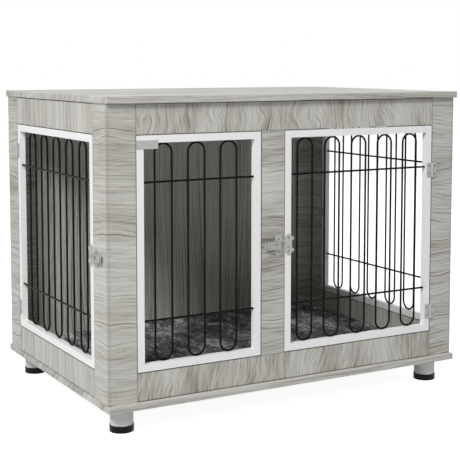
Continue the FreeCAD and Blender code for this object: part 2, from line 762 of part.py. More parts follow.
def make_latches():
    """A toggle latch beside each door: base, pin and screws on the wood, catch on the door."""
    walls = {
        "front": (FRONT, "front_latch_line", "wall_front"),
        "side": (LEFT * TURNED, "wall_left", "side_latch_line"),
    }
    pins, base_screws = [], []
    for wall, (rotation, x, y) in walls.items():
        def located(kind, piece, x=x, y=y, rotation=rotation, wall=wall):
            return locate(group(f"{wall}_latch_{kind}_set", [piece]), x, y, "latch_level", rotation)

        name = wall + "_latch"
        keep(located("base", latch_base(name + "_seat")), name + "_base_plate")
        keep(located("lever", latch_lever(name + "_thumb")), name + "_lever")
        keep(located("bail", latch_bail(name + "_loop")), name + "_bail")
        keep(located("catch", latch_catch(name + "_keeper")), name + "_catch")
        pins.append(located("pin", latch_pin(name + "_pin")))
        base_screws += [located("base_screw", sunk_screw(name + "_base_screw", px, pz,
                                                          "0 - plate_thickness", "wood_screw"))
                        for px, pz in plate_screw_places("0", "plate_height")]
        centre = "latch_setback + frame_gap + catch_inset + plate_width / 2"
        catch_screws = [sunk_screw(name + "_catch_screw", px, pz, "0 - plate_thickness", "short_screw")
                        for px, pz in plate_screw_places(centre, "catch_height")]
        keep(located("catch_screw", group(name + "_catch_screw_pair", catch_screws)),
             name + "_catch_screws")
    keep(group("latch_pin_set", pins), "latch_pins")
    keep(group("latch_base_screw_set", base_screws), "latch_base_screws")


# ---------------------------------------------------------------- window clips and plate

def make_window_clips():
    """Plates across the gap at each upright side of the fixed windows, inside, with two screws."""
    windows = (("front_window", "window_left", "window_right", FRONT, "0", "wall_front"),
               ("right_window", "side_front", "side_rear", RIGHT, "wall_right", "0"))
    level = "(open_low + open_high) / 2 - clip_drop"
    inner_face = "wall_thickness + clip_thickness"
    outward = Rotation(Vector(1, 0, 0), 90)
    clips, screws = [], []
    for name, left, right, rotation, x, y in windows:
        for end, u in (("left", f"({left} + frame_gap / 2)"), ("right", f"({right} - frame_gap / 2)")):
            plate = block(f"{name}_{end}_plate", f"{u} - clip_length / 2", "wall_thickness",
                          f"{level} - clip_width / 2", "clip_length", "clip_thickness", "clip_width")
            holes, own = [], []
            for sign in (-1, 1):
                hole_u = f"{u} + {sign} * clip_length / 4"
                for pieces in (holes, own):
                    head = small_bar("clip_head", hole_u, inner_face, level, "screw_head",
                                     "screw_head_depth", outward, HEAD_SIDES)
                    shank = small_bar("clip_shank", hole_u, inner_face, level, "screw_radius",
                                      "short_screw", outward, SHANK_SIDES)
                    pieces.append(joined("clip_screw", [head, shank]))
            clip = cut(f"{name}_{end}_clip", plate, group("clip_holes", holes))
            clips.append(locate(group("clip_place", [clip]), x, y, "0", rotation))
            screws.append(locate(group("clip_screw_place", own), x, y, "0", rotation))
    keep(group("window_clip_set", clips), "window_clips")
    keep(group("window_clip_screw_set", screws), "window_clip_screws")


def drill_frames():
    """Bore the frames' tubes for the screws of their clips, hinges and latch catches."""
    drill("front_window_frame", "window_clip_screws")
    drill("right_window_frame", "window_clip_screws")
    for wall in ("front", "side"):
        drill(f"{wall}_door_frame", f"{wall}_door_door_screws", f"{wall}_latch_catch_screws")


def make_badge():
    """A blank metal plate on the corner of the front window's frame."""
    plate = block("badge_blank", "window_left + frame_gap", "wall_front - badge_thickness",
                  "open_high - frame_gap - badge_drop - badge_height",
                  "badge_length", "badge_thickness", "badge_height")
    keep(plate, "blank_plate")


# ---------------------------------------------------------------- feet and mat

def make_feet():
    """Four hollow metal feet, each with a rubber cap and a screw up into the base board."""
    feet, caps, screws = [], [], []
    places = {
        "front_left": ("0 - foot_x", "0 - foot_y"),
        "front_right": ("foot_x", "0 - foot_y"),
        "back_left": ("0 - foot_x", "foot_y"),
        "back_right": ("foot_x", "foot_y"),
    }
    for label, (x, y) in places.items():
        shell = round_bar(label + "_foot_outer", x, y, "ring_floor", "foot_radius",
                          "foot_height - ring_floor")
        hollow = small_bar(label + "_foot_inner", x, y, "ring_floor", "foot_radius - foot_wall",
                           "foot_height - ring_floor - foot_top", sides=END_SIDES)
        bore = small_bar(label + "_foot_bore", x, y, "ring_floor", "foot_screw_radius", "foot_height")
        feet.append(cut(label + "_foot", shell, joined(label + "_foot_cuts", [hollow, bore])))
        cup = round_bar(label + "_cap_outer", x, y, "0", "ring_radius", "ring_height")
        inside = round_bar(label + "_cap_inner", x, y, "ring_floor", "foot_radius", "ring_height")
        caps.append(cut(label + "_cap", cup, inside))
        head = small_bar(label + "_screw_head", x, y,
                         "foot_height - foot_top - foot_screw_head_height", "foot_screw_head",
                         "foot_screw_head_height")
        shank = small_bar(label + "_screw_shank", x, y, "foot_height - foot_top",
                          "foot_screw_radius", "foot_screw_length")
        screws.append(joined(label + "_foot_screw", [head, shank]))
    keep(group("foot_set", feet), "feet")
    keep(group("foot_cap_set", caps), "foot_caps")
    keep(group("foot_screw_set", screws), "foot_screws")


def crowned_slab(name, low, high, depth_low, depth_high, rotation):
    """A slab whose top is one shallow arc between its two edges."""
    floor, edge, crown = number("floor_level"), number("mat_edge"), number("mat_crown")
    a, b = Vector(low, depth_low, floor), Vector(high, depth_low, floor)
    c, d = b + Vector(0, 0, edge), a + Vector(0, 0, edge)
    top = Vector((low + high) / 2, depth_low, floor + edge + crown)
    outline = Part.Wire([Part.LineSegment(a, b).toShape(), Part.LineSegment(b, c).toShape(),
                         Part.Arc(c, top, d).toShape(), Part.LineSegment(d, a).toShape()])
    slab = document.addObject("Part::Feature", name)
    slab.Shape = Part.Face(outline).extrude(Vector(0, depth_high - depth_low, 0))
    slab.Placement = Placement(Vector(), rotation)
    return slab


def make_mat():
    """The floor mat: crowned both ways, round at the corners, its sides drawn in between them."""
    margin = "wall_thickness + mat_gap"
    west, east = number(f"wall_left + {margin}"), number(f"wall_right - ({margin})")
    south, north = number(f"wall_front + {margin}"), number(f"wall_rear - ({margin})")
    waist, corner = number("mat_waist"), number("mat_corner")
    across = crowned_slab("mat_across", west, east, south, north, Rotation())
    along = crowned_slab("mat_along", south, north, -east, -west, RIGHT)
    middle_x, middle_y = (west + east) / 2, (south + north) / 2
    diagonal = corner * (1 - math.sqrt(0.5))
    starts = [Vector(west, north - corner, 0), Vector(west + corner, north, 0),
              Vector(east - corner, north, 0), Vector(east, north - corner, 0),
              Vector(east, south + corner, 0), Vector(east - corner, south, 0),
              Vector(west + corner, south, 0), Vector(west, south + corner, 0)]
    middles = [Vector(west + diagonal, north - diagonal, 0), Vector(middle_x, north - waist, 0),
               Vector(east - diagonal, north - diagonal, 0), Vector(east - waist, middle_y, 0),
               Vector(east - diagonal, south + diagonal, 0), Vector(middle_x, south + waist, 0),
               Vector(west + diagonal, south + diagonal, 0), Vector(west + waist, middle_y, 0)]
    arcs = [Part.Arc(start, middle, end).toShape()
            for start, middle, end in zip(starts, middles, starts[1:] + starts[:1])]
    plan = document.addObject("Part::Feature", "mat_plan")
    plan.Shape = Part.Face(Part.Wire(arcs)).extrude(Vector(0, 0, number("ceiling_level")))
    keep(shared("mat_body", shared("mat_crown_form", across, along), plan), "floor_mat")


def check_and_write():
    """Stop at any failed object or bad shape, then write each sub-part to its own file."""
    document.recompute()
    for thing in document.Objects:
        if "Invalid" in thing.State or "Error" in thing.State:
            raise RuntimeError(f"{thing.Name} ({thing.Label}) failed: {thing.State}")
    for part in sub_parts:
        if part.Shape.isNull() or not part.Shape.isValid() or not part.Shape.Solids:
            raise RuntimeError(f"{part.Label} has no valid solid")
    os.makedirs("parts", exist_ok=True)
    for part in sub_parts:
        part.Shape.exportStep(f"parts/{part.Label}.step")
        print(f"{part.Label}: {len(part.Shape.Solids)} solids, {part.Shape.Volume / 1000:.2f} cm3")


fill_sheets()
make_boards()
make_stiles()
make_rails()
make_board_fixings()
make_framed_grilles()
make_hinges()
make_latches()
make_window_clips()
drill_frames()
make_badge()
make_feet()
make_mat()
check_and_write()
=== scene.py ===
"""Looks of the dog crate end table: laminate boards, white frames, black wires and a plush mat.

Metres. +X runs right along the front, +Y towards the back and +Z up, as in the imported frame.
"""

from __future__ import annotations

import json
import logging
import math
from dataclasses import dataclass, field
from enum import Enum
from typing import ClassVar

import bpy
from mathutils import Matrix, Vector

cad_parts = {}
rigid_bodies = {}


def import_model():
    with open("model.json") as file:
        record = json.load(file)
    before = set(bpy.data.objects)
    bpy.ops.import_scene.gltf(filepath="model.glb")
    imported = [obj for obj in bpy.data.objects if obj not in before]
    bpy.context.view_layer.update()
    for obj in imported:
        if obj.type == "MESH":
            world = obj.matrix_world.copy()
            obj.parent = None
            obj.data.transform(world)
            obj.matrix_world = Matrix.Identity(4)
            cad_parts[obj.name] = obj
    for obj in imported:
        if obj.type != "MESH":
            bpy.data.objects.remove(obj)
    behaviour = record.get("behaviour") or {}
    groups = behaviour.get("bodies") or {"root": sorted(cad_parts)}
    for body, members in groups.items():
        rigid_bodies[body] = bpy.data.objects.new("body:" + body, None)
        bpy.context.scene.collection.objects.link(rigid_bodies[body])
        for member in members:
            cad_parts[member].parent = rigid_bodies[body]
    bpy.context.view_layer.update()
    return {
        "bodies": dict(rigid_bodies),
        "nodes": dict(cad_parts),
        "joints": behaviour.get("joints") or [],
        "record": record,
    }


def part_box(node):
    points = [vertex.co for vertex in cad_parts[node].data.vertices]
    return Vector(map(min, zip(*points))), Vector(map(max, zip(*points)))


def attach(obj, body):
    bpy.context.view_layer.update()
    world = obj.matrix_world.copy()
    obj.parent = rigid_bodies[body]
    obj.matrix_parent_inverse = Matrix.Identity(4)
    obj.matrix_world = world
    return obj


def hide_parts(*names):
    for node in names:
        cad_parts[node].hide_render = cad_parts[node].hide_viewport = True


LOG = logging.getLogger("dog_crate_end_table")
RGB = tuple[float, float, float]
WHITE: RGB = (1.0, 1.0, 1.0)
AXES = "XYZ"
SCREEN_FULL = 255
SMOOTH_ANGLE = 35.0


def from_screen(red: float, green: float, blue: float) -> RGB:
    """Turn a screen colour into the linear one that a shader takes.

    Args:
        red: Red, from 0 to 255.
        green: Green, from 0 to 255.
        blue: Blue, from 0 to 255.

    Returns:
        The linear colour.
    """
    shares = (red / SCREEN_FULL, green / SCREEN_FULL, blue / SCREEN_FULL)
    return tuple(c / 12.92 if c <= 0.04045 else ((c + 0.055) / 1.055) ** 2.4 for c in shares)


def deselect() -> None:
    """Leave nothing selected, in object mode."""
    if bpy.context.object and bpy.context.object.mode != "OBJECT":
        bpy.ops.object.mode_set(mode="OBJECT")
    bpy.ops.object.select_all(action="DESELECT")


def make_active(piece: bpy.types.Object) -> None:
    """Select one object alone and make it the active one."""
    deselect()
    piece.select_set(True)
    bpy.context.view_layer.objects.active = piece


def apply_modifiers(piece: bpy.types.Object) -> None:
    """Apply every modifier of a piece, in order."""
    make_active(piece)
    for modifier in list(piece.modifiers):
        bpy.ops.object.modifier_apply(modifier=modifier.name)


def settle(piece: bpy.types.Object) -> None:
    """Put a piece's place, turn and scale into its mesh."""
    make_active(piece)
    bpy.ops.object.transform_apply(location=True, rotation=True, scale=True)


def smooth(piece: bpy.types.Object, degrees: float = SMOOTH_ANGLE) -> None:
    """Shade a piece smooth, except across edges sharper than an angle."""
    make_active(piece)
    bpy.ops.object.shade_smooth_by_angle(angle=math.radians(degrees))


# ---------------------------------------------------------------- finishes


class Grain(Enum):
    """The way the printed grain runs on a board: across, depth and along axes of that board."""

    UPRIGHT_FRONT = ("X", "Y", "Z")
    UPRIGHT_SIDE = ("Y", "X", "Z")
    LEVEL_FRONT = ("Z", "Y", "X")
    LEVEL_SIDE = ("Z", "X", "Y")
    FLAT = ("Y", "Z", "X")


@dataclass
class ShaderSheet:
    """A material's node tree, with short ways to add and join its nodes."""

    name: str
    material: bpy.types.Material = field(init=False)
    shader: bpy.types.Node = field(init=False)

    def __post_init__(self) -> None:
        """Start the material with its principled shader."""
        self.material = bpy.data.materials.new(self.name)
        self.material.use_nodes = True
        self.shader = self.material.node_tree.nodes["Principled BSDF"]

    def add(self, kind: str, **settings: object) -> bpy.types.Node:
        """Add a node.

        Args:
            kind: The node's type without the ShaderNode prefix.
            **settings: Properties to set on it.

        Returns:
            The node.
        """
        node = self.material.node_tree.nodes.new("ShaderNode" + kind)
        for key, value in settings.items():
            setattr(node, key, value)
        return node

    def join(self, source: bpy.types.NodeSocket, target: bpy.types.NodeSocket) -> None:
        """Link one socket to another."""
        self.material.node_tree.links.new(source, target)

    def feed(self, value: object, socket: bpy.types.NodeSocket) -> None:
        """Give a socket another socket's value, a colour or a number.

        Args:
            value: A socket, a linear colour or a number.
            socket: The socket that takes it.
        """
        if isinstance(value, bpy.types.NodeSocket):
            self.join(value, socket)
        elif isinstance(value, tuple):
            socket.default_value = (*value, 1.0)
        else:
            socket.default_value = value

    def position(self) -> bpy.types.NodeSocket:
        """Object coordinates, which are the frame's own metres."""
        return self.add("TexCoord").outputs["Object"]

    def gloss(self, roughness: float, specular: float, metallic: float = 0.0) -> None:
        """Set how the surface shines."""
        self.shader.inputs["Roughness"].default_value = roughness
        self.shader.inputs["Specular IOR Level"].default_value = specular
        self.shader.inputs["Metallic"].default_value = metallic

    def math(self, operation: str, first: object, second: object = 0.0) -> bpy.types.NodeSocket:
        """A Math node on sockets or numbers.

        Args:
            operation: The Math node's operation.
            first: A socket or a number.
            second: A socket or a number.

        Returns:
            The value socket.
        """
        node = self.add("Math", operation=operation)
        for value, socket in zip((first, second), node.inputs):
            self.feed(value, socket)
        return node.outputs[0]

    def vector(self, x: object, y: object, z: object) -> bpy.types.NodeSocket:
        """Three sockets or numbers as one vector."""
        node = self.add("CombineXYZ")
        for value, socket in zip((x, y, z), node.inputs):
            self.feed(value, socket)
        return node.outputs[0]

    def noise(self, where: bpy.types.NodeSocket, scale: float, detail: float = 3.0,
              roughness: float = 0.5) -> bpy.types.NodeSocket:
        """A noise texture's value at a vector.

        Args:
            where: The vector.
            scale: How many of its waves fit in one unit.
            detail: How many finer waves lie on the broad ones.
            roughness: How strong the finer waves are.

        Returns:
            The value socket.
        """
        node = self.add("TexNoise")
        self.join(where, node.inputs["Vector"])
        node.inputs["Scale"].default_value = scale
        node.inputs["Detail"].default_value = detail
        node.inputs["Roughness"].default_value = roughness
        return node.outputs["Fac"]

    def ramp(self, value: bpy.types.NodeSocket,
             stops: tuple[tuple[float, RGB], ...]) -> bpy.types.NodeSocket:
        """Colours picked by a value.

        Args:
            value: The value, from 0 to 1.
            stops: Places and their linear colours, in rising order.

        Returns:
            The colour socket.
        """
        node = self.add("ValToRGB")
        self.join(value, node.inputs["Fac"])
        elements = node.color_ramp.elements
        while len(elements) < len(stops):
            elements.new(0.5)
        for element, (place, colour) in zip(elements, stops):
            element.position = place
            element.color = (*colour, 1.0)
        return node.outputs["Color"]

    def blend(self, amount: object, first: object, second: object) -> bpy.types.NodeSocket:
        """Mix two colours.

        Args:
            amount: A socket or a number from 0 to 1.
            first: A colour socket or a linear colour.
            second: A colour socket or a linear colour.

        Returns:
            The colour socket.
        """
        node = self.add("Mix", data_type="RGBA", blend_type="MIX")
        factor, colour_a, colour_b = (node.inputs[place] for place in (0, 6, 7))
        self.feed(amount, factor)
        self.feed(first, colour_a)
        self.feed(second, colour_b)
        return node.outputs[2]

    def bump(self, height: bpy.types.NodeSocket, distance: float, strength: float = 1.0) -> None:
        """Roughen the shading by a height."""
        node = self.add("Bump")
        node.inputs["Distance"].default_value = distance
        node.inputs["Strength"].default_value = strength
        self.join(height, node.inputs["Height"])
        self.join(node.outputs["Normal"], self.shader.inputs["Normal"])


@dataclass(frozen=True)
class Figure:
    """How far the print's figure runs along the grain, and how strongly it bows the lines."""

    length: float
    strength: float


@dataclass(frozen=True)
class LaminateFinish:
    """Printed grey oak laminate: thin growth lines that run straight, bow and now and then
    close in an arch, with fine pores along them and broad soft shades across them."""

    board: str
    grain: Grain
    seed: float
    figure: Figure
    corner: float | None = None
    line_spacing: float = 0.0078
    figure_width: float = 0.075
    shade_width: float = 0.055
    pore_width: float = 0.0013
    pore_length: float = 0.035
    joint_line: float = 0.0009
    corner_line: float = 0.0034
    ring_share: float = 0.22
    hair_share: float = 0.30
    pore_share: float = 0.25
    shade_share: float = 0.30
    crest_share: float = 0.19
    crest_sharpness: float = 5.0
    crest_threshold: float = 0.43
    crest_force: float = 4.5
    hair_rate: float = 3.1
    force_rate: float = 0.61
    shade_stretch: float = 2.0
    layer_rate: float = 0.9
    detail: float = 2.0
    force_detail: float = 1.0
    force_roughness: float = 0.5
    figure_roughness: float = 0.35
    line_roughness: float = 0.6
    pore_roughness: float = 0.65
    square_on: float = 0.9
    joint_strength: float = 0.45
    pale: RGB = from_screen(203, 202, 196)
    mid: RGB = from_screen(182, 180, 173)
    line: RGB = from_screen(146, 142, 134)
    deep: RGB = from_screen(100, 96, 88)
    # Dark colour of the print's joint hairlines, and the painted shade laid on board edges that sit
    # in the gaps against the frames and the other boards.
    joint_and_gap_shade: RGB = from_screen(84, 81, 76)
    deep_tone: float = 0.33
    line_tone: float = 0.43
    mid_tone: float = 0.52
    pale_tone: float = 0.62
    roughness: float = 0.5
    specular: float = 0.3
    relief: float = 0.0004
    relief_strength: float = 0.35

    def growth(self, sheet: ShaderSheet, across: bpy.types.NodeSocket, depth: bpy.types.NodeSocket,
               along: bpy.types.NodeSocket) -> bpy.types.NodeSocket:
        """The print's tone, from 0 in the darkest line to 1 in the palest wood.

        Args:
            sheet: The material's nodes.
            across: The place across the grain.
            depth: The place through the board, with the board's own offset.
            along: The place along the grain.

        Returns:
            The tone.
        """
        def stretched(width: float, length: float) -> bpy.types.NodeSocket:
            """The place in waves of one width across the grain and one length along it."""
            return sheet.vector(sheet.math("DIVIDE", across, width),
                                sheet.math("DIVIDE", depth, width),
                                sheet.math("DIVIDE", along, length))

        def lines(rate: float, seed: float, detail: float,
                  roughness: float) -> bpy.types.NodeSocket:
            """Noise drawn out along the bowed lines, at a rate across them."""
            place = bowed if rate == 1.0 else sheet.math("MULTIPLY", bowed, rate)
            return sheet.noise(sheet.vector(place, slow, seed), 1.0, detail, roughness)

        figure = sheet.noise(stretched(self.figure_width, self.figure.length), 1.0, self.detail,
                             self.figure_roughness)
        bowed = sheet.math("ADD", sheet.math("DIVIDE", sheet.math("ADD", across, depth),
                                             self.line_spacing),
                           sheet.math("MULTIPLY", figure, self.figure.strength))
        slow = sheet.math("DIVIDE", along, self.figure.length)
        rings = lines(1.0, self.seed, self.detail, self.line_roughness)
        hairs = lines(self.hair_rate, self.seed, self.detail, self.line_roughness)
        force = lines(self.force_rate, -self.seed, self.force_detail, self.force_roughness)
        strong = sheet.math("MULTIPLY", sheet.math("SUBTRACT", force, self.crest_threshold),
                            self.crest_force)
        crest = sheet.math("MULTIPLY", sheet.math("POWER", sheet.math("FRACT", bowed),
                                                  self.crest_sharpness),
                           sheet.math("MAXIMUM", strong, 0.0))
        pores = sheet.noise(stretched(self.pore_width, self.pore_length), 1.0, self.detail,
                            self.pore_roughness)
        shade = sheet.noise(stretched(self.shade_width, self.figure.length * self.shade_stretch),
                            1.0, self.detail)
        drawn = sheet.math("ADD", sheet.math("MULTIPLY", rings, self.ring_share),
                           sheet.math("MULTIPLY", hairs, self.hair_share))
        soft = sheet.math("ADD", sheet.math("MULTIPLY", pores, self.pore_share),
                          sheet.math("MULTIPLY", shade, self.shade_share))
        return sheet.math("SUBTRACT", sheet.math("ADD", drawn, soft),
                          sheet.math("MULTIPLY", crest, self.crest_share))

    def joints(self, sheet: ShaderSheet, split: bpy.types.Node) -> bpy.types.NodeSocket:
        """Where the print is broken: a hairline at the board's ends and beside its mitred corner.

        Args:
            sheet: The material's nodes.
            split: The place, split in three.

        Returns:
            1 on such a line and 0 off it.
        """
        low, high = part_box(self.board)
        across, _, along = self.grain.value
        shown = None
        for axis in (across, along):
            end = AXES.index(axis)
            for edge in (low[end], high[end]):
                gap = sheet.math("ABSOLUTE", sheet.math("SUBTRACT", split.outputs[end], edge))
                near = sheet.math("LESS_THAN", gap, self.joint_line)
                shown = near if shown is None else sheet.math("MAXIMUM", shown, near)
        if self.corner is not None:
            place = split.outputs[AXES.index(along)]
            gap = sheet.math("ABSOLUTE", sheet.math("SUBTRACT", place, self.corner))
            off = sheet.math("ABSOLUTE", sheet.math("SUBTRACT", gap, self.corner_line))
            shown = sheet.math("MAXIMUM", shown, sheet.math("LESS_THAN", off, self.joint_line / 2))
        return shown

    def material(self) -> bpy.types.Material:
        """Build the finish.

        Returns:
            The material.
        """
        sheet = ShaderSheet("laminate_" + self.board)
        coordinates = sheet.add("TexCoord")
        split = sheet.add("SeparateXYZ")
        sheet.join(coordinates.outputs["Object"], split.inputs[0])
        across, depth, along = (split.outputs[AXES.index(axis)] for axis in self.grain.value)
        flat = self.grain is Grain.FLAT
        layer = sheet.math("ADD", sheet.math("MULTIPLY", depth, self.layer_rate if flat else 0.0),
                           self.seed)
        if self.corner is not None:
            along = sheet.math("ABSOLUTE", sheet.math("SUBTRACT", along, self.corner))
        tone = self.growth(sheet, across, layer, along)
        colour = sheet.ramp(tone, ((self.deep_tone, self.deep), (self.line_tone, self.line),
                                   (self.mid_tone, self.mid), (self.pale_tone, self.pale)))
        # On every board but the top and base boards, faces square to the grain's across and along
        # axes sit in the gaps against the frames and the other boards; they take the dark colour as
        # painted shade in those gaps. The joint hairlines below take the same dark colour as dark
        # joints in the print.
        if not flat:
            facing = sheet.add("SeparateXYZ")
            sheet.join(coordinates.outputs["Normal"], facing.inputs[0])
            gap_face_axes = (self.grain.value[0], self.grain.value[2])
            gap_shaded_faces = [sheet.math("GREATER_THAN",
                                  sheet.math("ABSOLUTE", facing.outputs[AXES.index(axis)]),
                                  self.square_on)
                       for axis in gap_face_axes]
            colour = sheet.blend(sheet.math("MAXIMUM", *gap_shaded_faces), colour, self.joint_and_gap_shade)
            shown = sheet.math("MULTIPLY", self.joints(sheet, split), self.joint_strength)
            colour = sheet.blend(shown, colour, self.joint_and_gap_shade)
        sheet.join(colour, sheet.shader.inputs["Base Color"])
        sheet.gloss(self.roughness, self.specular)
        sheet.bump(tone, self.relief, self.relief_strength)
        return sheet.material


@dataclass(frozen=True)
class PlainFinish:
    """One colour and gloss all over: powder coat, black wire coat, zinc plate or rubber."""

    name: str
    colour: RGB
    roughness: float
    metallic: float = 0.0
    grit: float = 0.0
    specular: float = 0.5
    grit_scale: float = 900.0
    grit_detail: float = 2.0
    grit_strength: float = 0.4

    def material(self) -> bpy.types.Material:
        """Build the finish.

        Returns:
            The material.
        """
        sheet = ShaderSheet(self.name)
        sheet.feed(self.colour, sheet.shader.inputs["Base Color"])
        sheet.gloss(self.roughness, self.specular, self.metallic)
        if self.grit:
            grain = sheet.noise(sheet.position(), self.grit_scale, self.grit_detail)
            sheet.bump(grain, self.grit, self.grit_strength)
        return sheet.material


@dataclass(frozen=True)
class PlushFinish:
    """Dark grey long plush, its pile lying in pale and dark tufts."""

    hollow: RGB = from_screen(46, 46, 46)
    pile: RGB = from_screen(116, 116, 116)
    tip: RGB = from_screen(226, 226, 226)
    hollow_tone: float = 0.38
    pile_tone: float = 0.5
    tip_tone: float = 0.64
    brushing: tuple[float, float, float] = (1.0, 0.45, 1.0)
    tuft_scale: float = 120.0
    tuft_detail: float = 4.0
    tuft_roughness: float = 0.8
    patch_scale: float = 17.0
    patch_detail: float = 3.0
    patch_roughness: float = 0.7
    tuft_share: float = 0.5
    roughness: float = 1.0
    specular: float = 0.05
    relief: float = 0.006
    relief_strength: float = 0.9

    def material(self) -> bpy.types.Material:
        """Build the finish.

        Returns:
            The material.
        """
        sheet = ShaderSheet("grey_plush")
        brushed = sheet.add("Mapping")
        brushed.inputs["Scale"].default_value = self.brushing
        sheet.join(sheet.position(), brushed.inputs["Vector"])
        where = brushed.outputs["Vector"]
        tufts = sheet.noise(where, self.tuft_scale, self.tuft_detail, self.tuft_roughness)
        patches = sheet.noise(where, self.patch_scale, self.patch_detail, self.patch_roughness)
        tone = sheet.math("ADD", sheet.math("MULTIPLY", tufts, self.tuft_share),
                          sheet.math("MULTIPLY", patches, 1.0 - self.tuft_share))
        colour = sheet.ramp(tone, ((self.hollow_tone, self.hollow), (self.pile_tone, self.pile),
                                   (self.tip_tone, self.tip)))
        sheet.join(colour, sheet.shader.inputs["Base Color"])
        sheet.gloss(self.roughness, self.specular)
        sheet.bump(tufts, self.relief, self.relief_strength)
        return sheet.material


@dataclass
class Finishes:
    """Every material of the object, made once."""

    white: bpy.types.Material = field(init=False)
    wire: bpy.types.Material = field(init=False)
    zinc: bpy.types.Material = field(init=False)
    rubber: bpy.types.Material = field(init=False)
    dowel: bpy.types.Material = field(init=False)
    plush: bpy.types.Material = field(init=False)
    foot: bpy.types.Material = field(init=False)
    screw: bpy.types.Material = field(init=False)

    def __post_init__(self) -> None:
        """Make the materials."""
        self.white = PlainFinish("white_powder_coat", from_screen(238, 238, 238), roughness=0.45,
                                 grit=0.0001).material()
        self.wire = PlainFinish("black_wire_coat", from_screen(9, 9, 9), roughness=0.45,
                                specular=0.08).material()
        self.zinc = PlainFinish("zinc_plate", from_screen(176, 176, 175), roughness=0.5,
                                metallic=0.3).material()
        # The screw heads are greyer than the zinc plates, partly as darker steel and partly as
        # painted shade for the shadowed countersinks round them.
        self.screw = PlainFinish("dark_screw", from_screen(138, 138, 138), roughness=0.45,
                                 metallic=0.4).material()
        self.foot = PlainFinish("grey_foot_coat", from_screen(228, 228, 227),
                                roughness=0.6).material()
        self.rubber = PlainFinish("black_rubber", from_screen(9, 9, 9), roughness=0.35,
                                  specular=0.12).material()
        self.dowel = PlainFinish("bare_beech", from_screen(196, 160, 116),
                                 roughness=0.7).material()
        self.plush = PlushFinish().material()


def dress(piece: bpy.types.Object, material: bpy.types.Material) -> None:
    """Give a piece one material all over."""
    piece.data.materials.clear()
    piece.data.materials.append(material)


# ---------------------------------------------------------------- cabinet


@dataclass
class Cabinet:
    """The boards, feet and fixings, which keep the solids' own shapes."""

    nodes: dict[str, bpy.types.Object]
    finishes: Finishes

    LONG: ClassVar[Figure] = Figure(length=0.5, strength=6.0)
    PANEL: ClassVar[Figure] = Figure(length=0.45, strength=6.0)
    STRAIGHT: ClassVar[Figure] = Figure(length=0.4, strength=3.0)
    WAVY: ClassVar[Figure] = Figure(length=0.16, strength=5.5)
    ARCHED: ClassVar[Figure] = Figure(length=0.085, strength=8.5)
    GRAINS: ClassVar[dict[str, tuple[Grain, Figure]]] = {
        "top_board": (Grain.FLAT, LONG),
        "base_board": (Grain.FLAT, LONG),
        "front_left_stile": (Grain.LEVEL_FRONT, WAVY),
        "front_right_stile": (Grain.LEVEL_FRONT, WAVY),
        "front_center_post": (Grain.LEVEL_FRONT, WAVY),
        "back_left_stile": (Grain.LEVEL_FRONT, WAVY),
        "back_right_stile": (Grain.LEVEL_FRONT, WAVY),
        "front_top_rail": (Grain.UPRIGHT_FRONT, ARCHED),
        "front_bottom_rail": (Grain.UPRIGHT_FRONT, ARCHED),
        "back_panel": (Grain.UPRIGHT_FRONT, PANEL),
        "left_side_front_stile": (Grain.LEVEL_SIDE, WAVY),
        "left_side_rear_stile": (Grain.LEVEL_SIDE, WAVY),
        "right_side_front_stile": (Grain.LEVEL_SIDE, WAVY),
        "right_side_rear_stile": (Grain.LEVEL_SIDE, WAVY),
        "left_side_top_rail": (Grain.UPRIGHT_SIDE, STRAIGHT),
        "left_side_bottom_rail": (Grain.UPRIGHT_SIDE, STRAIGHT),
        "right_side_top_rail": (Grain.UPRIGHT_SIDE, STRAIGHT),
        "right_side_bottom_rail": (Grain.UPRIGHT_SIDE, STRAIGHT),
    }
    CORNER_SEEDS: ClassVar[dict[str, float]] = {
        "front_left": 1.0,
        "front_right": 2.0,
        "back_left": 3.0,
        "back_right": 4.0,
    }
    FIRST_SEED: ClassVar[float] = 10.0

    def corner_of(self, board: str) -> tuple[float | None, float]:
        """A stile's outer edge along its grain, and the offset that its mitred partner shares.

        Args:
            board: The board's node.

        Returns:
            The outer edge, or None for a board that isn't a stile, and the offset.
        """
        if not board.endswith("_stile"):
            return None, self.FIRST_SEED + list(self.GRAINS).index(board)
        low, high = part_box(board)
        if board.startswith(("front", "back")):
            left = "left" in board
            return (low if left else high).x, self.CORNER_SEEDS[board.removesuffix("_stile")]
        side, end = board.split("_side_")
        front = end.startswith("front")
        name = ("front_" if front else "back_") + side
        return (low if front else high).y, self.CORNER_SEEDS[name]

    def dress(self) -> None:
        """Give each kept node its finish."""
        for name, (grain, figure) in self.GRAINS.items():
            corner, seed = self.corner_of(name)
            laminate = LaminateFinish(name, grain, seed, figure, corner)
            dress(self.nodes[name], laminate.material())
        for name, node in self.nodes.items():
            if name in self.GRAINS:
                continue
            if name.endswith("_frame"):
                dress(node, self.finishes.white)
            elif name == "feet":
                dress(node, self.finishes.foot)
                smooth(node)
            elif name == "foot_caps":
                dress(node, self.finishes.rubber)
                smooth(node)
            elif name == "top_board_dowels":
                dress(node, self.finishes.dowel)
            elif name.endswith("_screws"):
                dress(node, self.finishes.screw)
            elif not name.endswith("_grille") and name != "floor_mat":
                dress(node, self.finishes.zinc)
                smooth(node)
        LOG.info("dressed %d nodes of the cabinet and its metal", len(self.nodes))


# ---------------------------------------------------------------- grilles


class Wall(Enum):
    """The wall a grille stands in, and the turn that brings the front's plane to it."""

    FRONT = 0.0
    LEFT = -90.0
    RIGHT = 90.0


